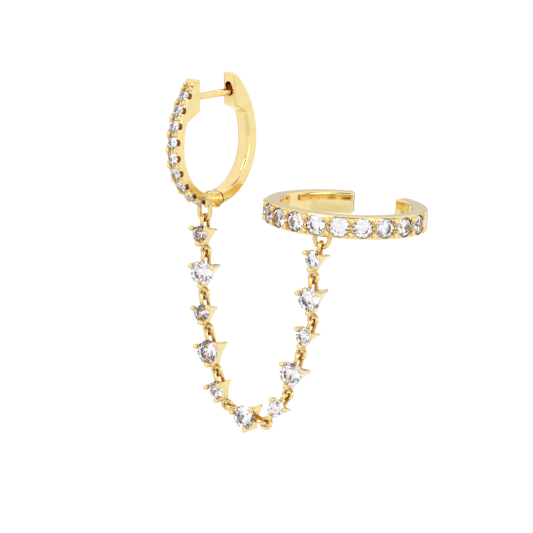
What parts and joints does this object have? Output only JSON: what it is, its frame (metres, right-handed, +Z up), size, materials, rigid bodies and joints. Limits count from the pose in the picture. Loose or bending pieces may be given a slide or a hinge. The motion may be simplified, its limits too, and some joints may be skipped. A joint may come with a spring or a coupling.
{
  "type": "ear chain earring: hinged stone-set hoop joined by a chain of set stones to an open ear cuff",
  "caption": "Hinged hoop earring with a row of small stones, linked by a hanging chain of prong-set stones to an open stone-set ear cuff.",
  "frame": {"origin": "the middle of the ear post, halfway between the front block and the catch, where the lobe hangs it", "axes": "+X along the post from the stone-set front half to the catch, +Y along the hinge, +Z up as it hangs"},
  "size_m": [0.0238, 0.0165, 0.0326],
  "materials": {
    "gold": "polished yellow gold",
    "stone": "clear faceted stone"
  },
  "bodies": {
    "front": {"front_hoop": "gold", "hinge_pin": "gold", "huggie_stones": "stone", "cuff_band": "gold", "cuff_stones": "stone", "setting_01": "gold", "setting_02": "gold", "setting_03": "gold", "setting_04": "gold", "setting_05": "gold", "setting_06": "gold", "setting_07": "gold", "setting_08": "gold", "setting_09": "gold", "setting_10": "gold", "setting_11": "gold", "stone_01": "stone", "stone_02": "stone", "stone_03": "stone", "stone_04": "stone", "stone_05": "stone", "stone_06": "stone", "stone_07": "stone", "stone_08": "stone", "stone_09": "stone", "stone_10": "stone", "stone_11": "stone"},
    "back": {"back_hoop": "gold"}
  },
  "joints": [
    {"name": "hoop_hinge", "type": "hinge", "parent": "front", "child": "back", "pos_m": [0, 0, -0.00965], "axis": [0, 1, 0], "range_deg": [0, 36]}
  ]
}
